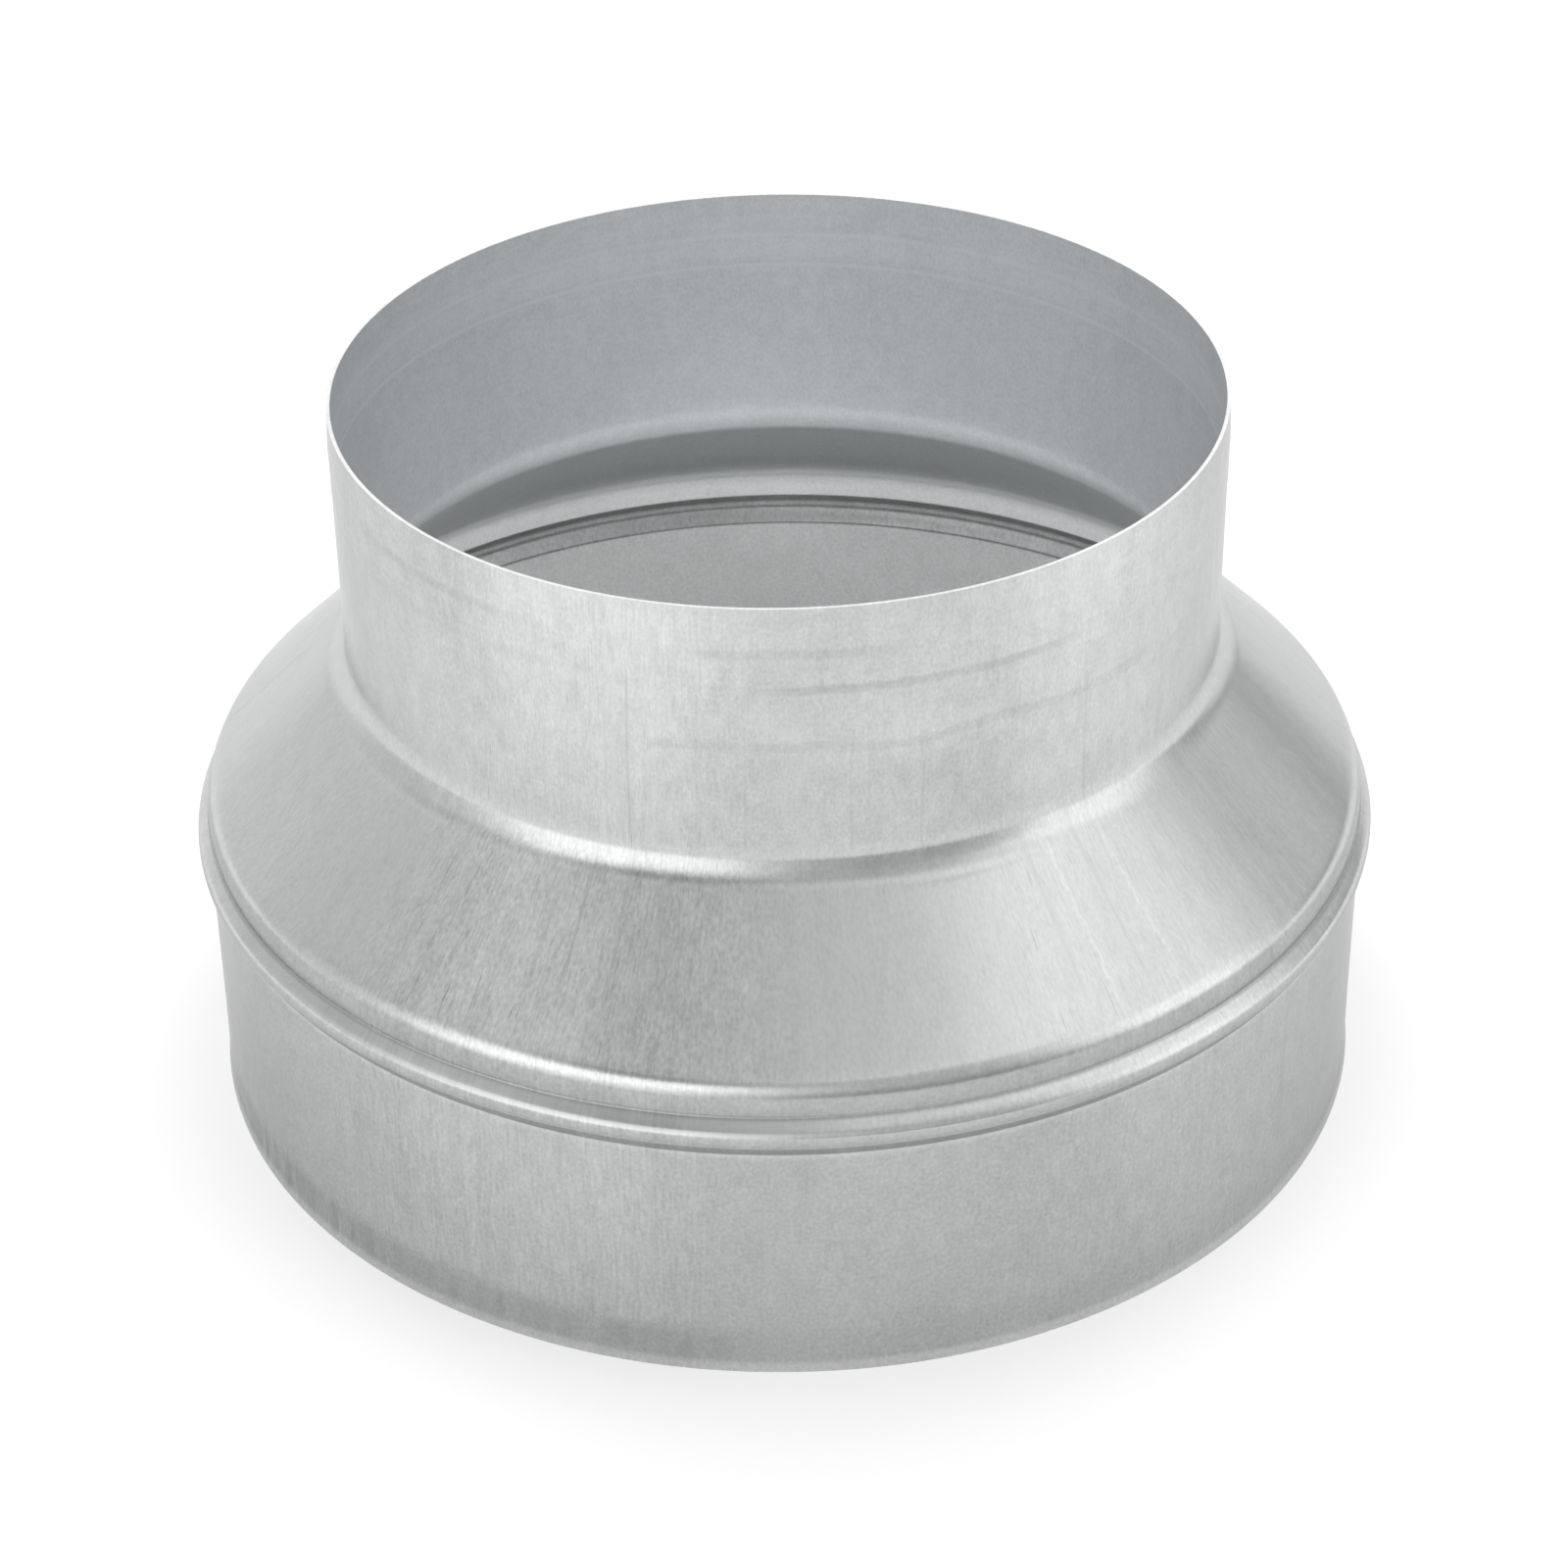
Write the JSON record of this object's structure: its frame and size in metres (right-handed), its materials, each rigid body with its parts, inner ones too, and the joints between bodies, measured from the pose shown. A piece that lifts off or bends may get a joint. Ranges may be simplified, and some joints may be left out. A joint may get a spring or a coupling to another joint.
{
  "type": "duct reducer",
  "caption": "Round sheet-steel duct reducer with a large beaded collar, a short cone and a smaller spigot, to join round ducts of different diameters.",
  "frame": {"origin": "centre of the large collar's rim, in the plane that the part stands on", "axes": "+Z along the duct's axis, from the large collar to the small spigot; the part is the same all round, so +X and +Y are free"},
  "size_m": [0.2024, 0.2024, 0.1247],
  "materials": {
    "galvanised_sheet": "satin galvanised sheet, streaked by pressing"
  },
  "bodies": {
    "root": {"reducer": "galvanised_sheet"}
  },
  "joints": []
}
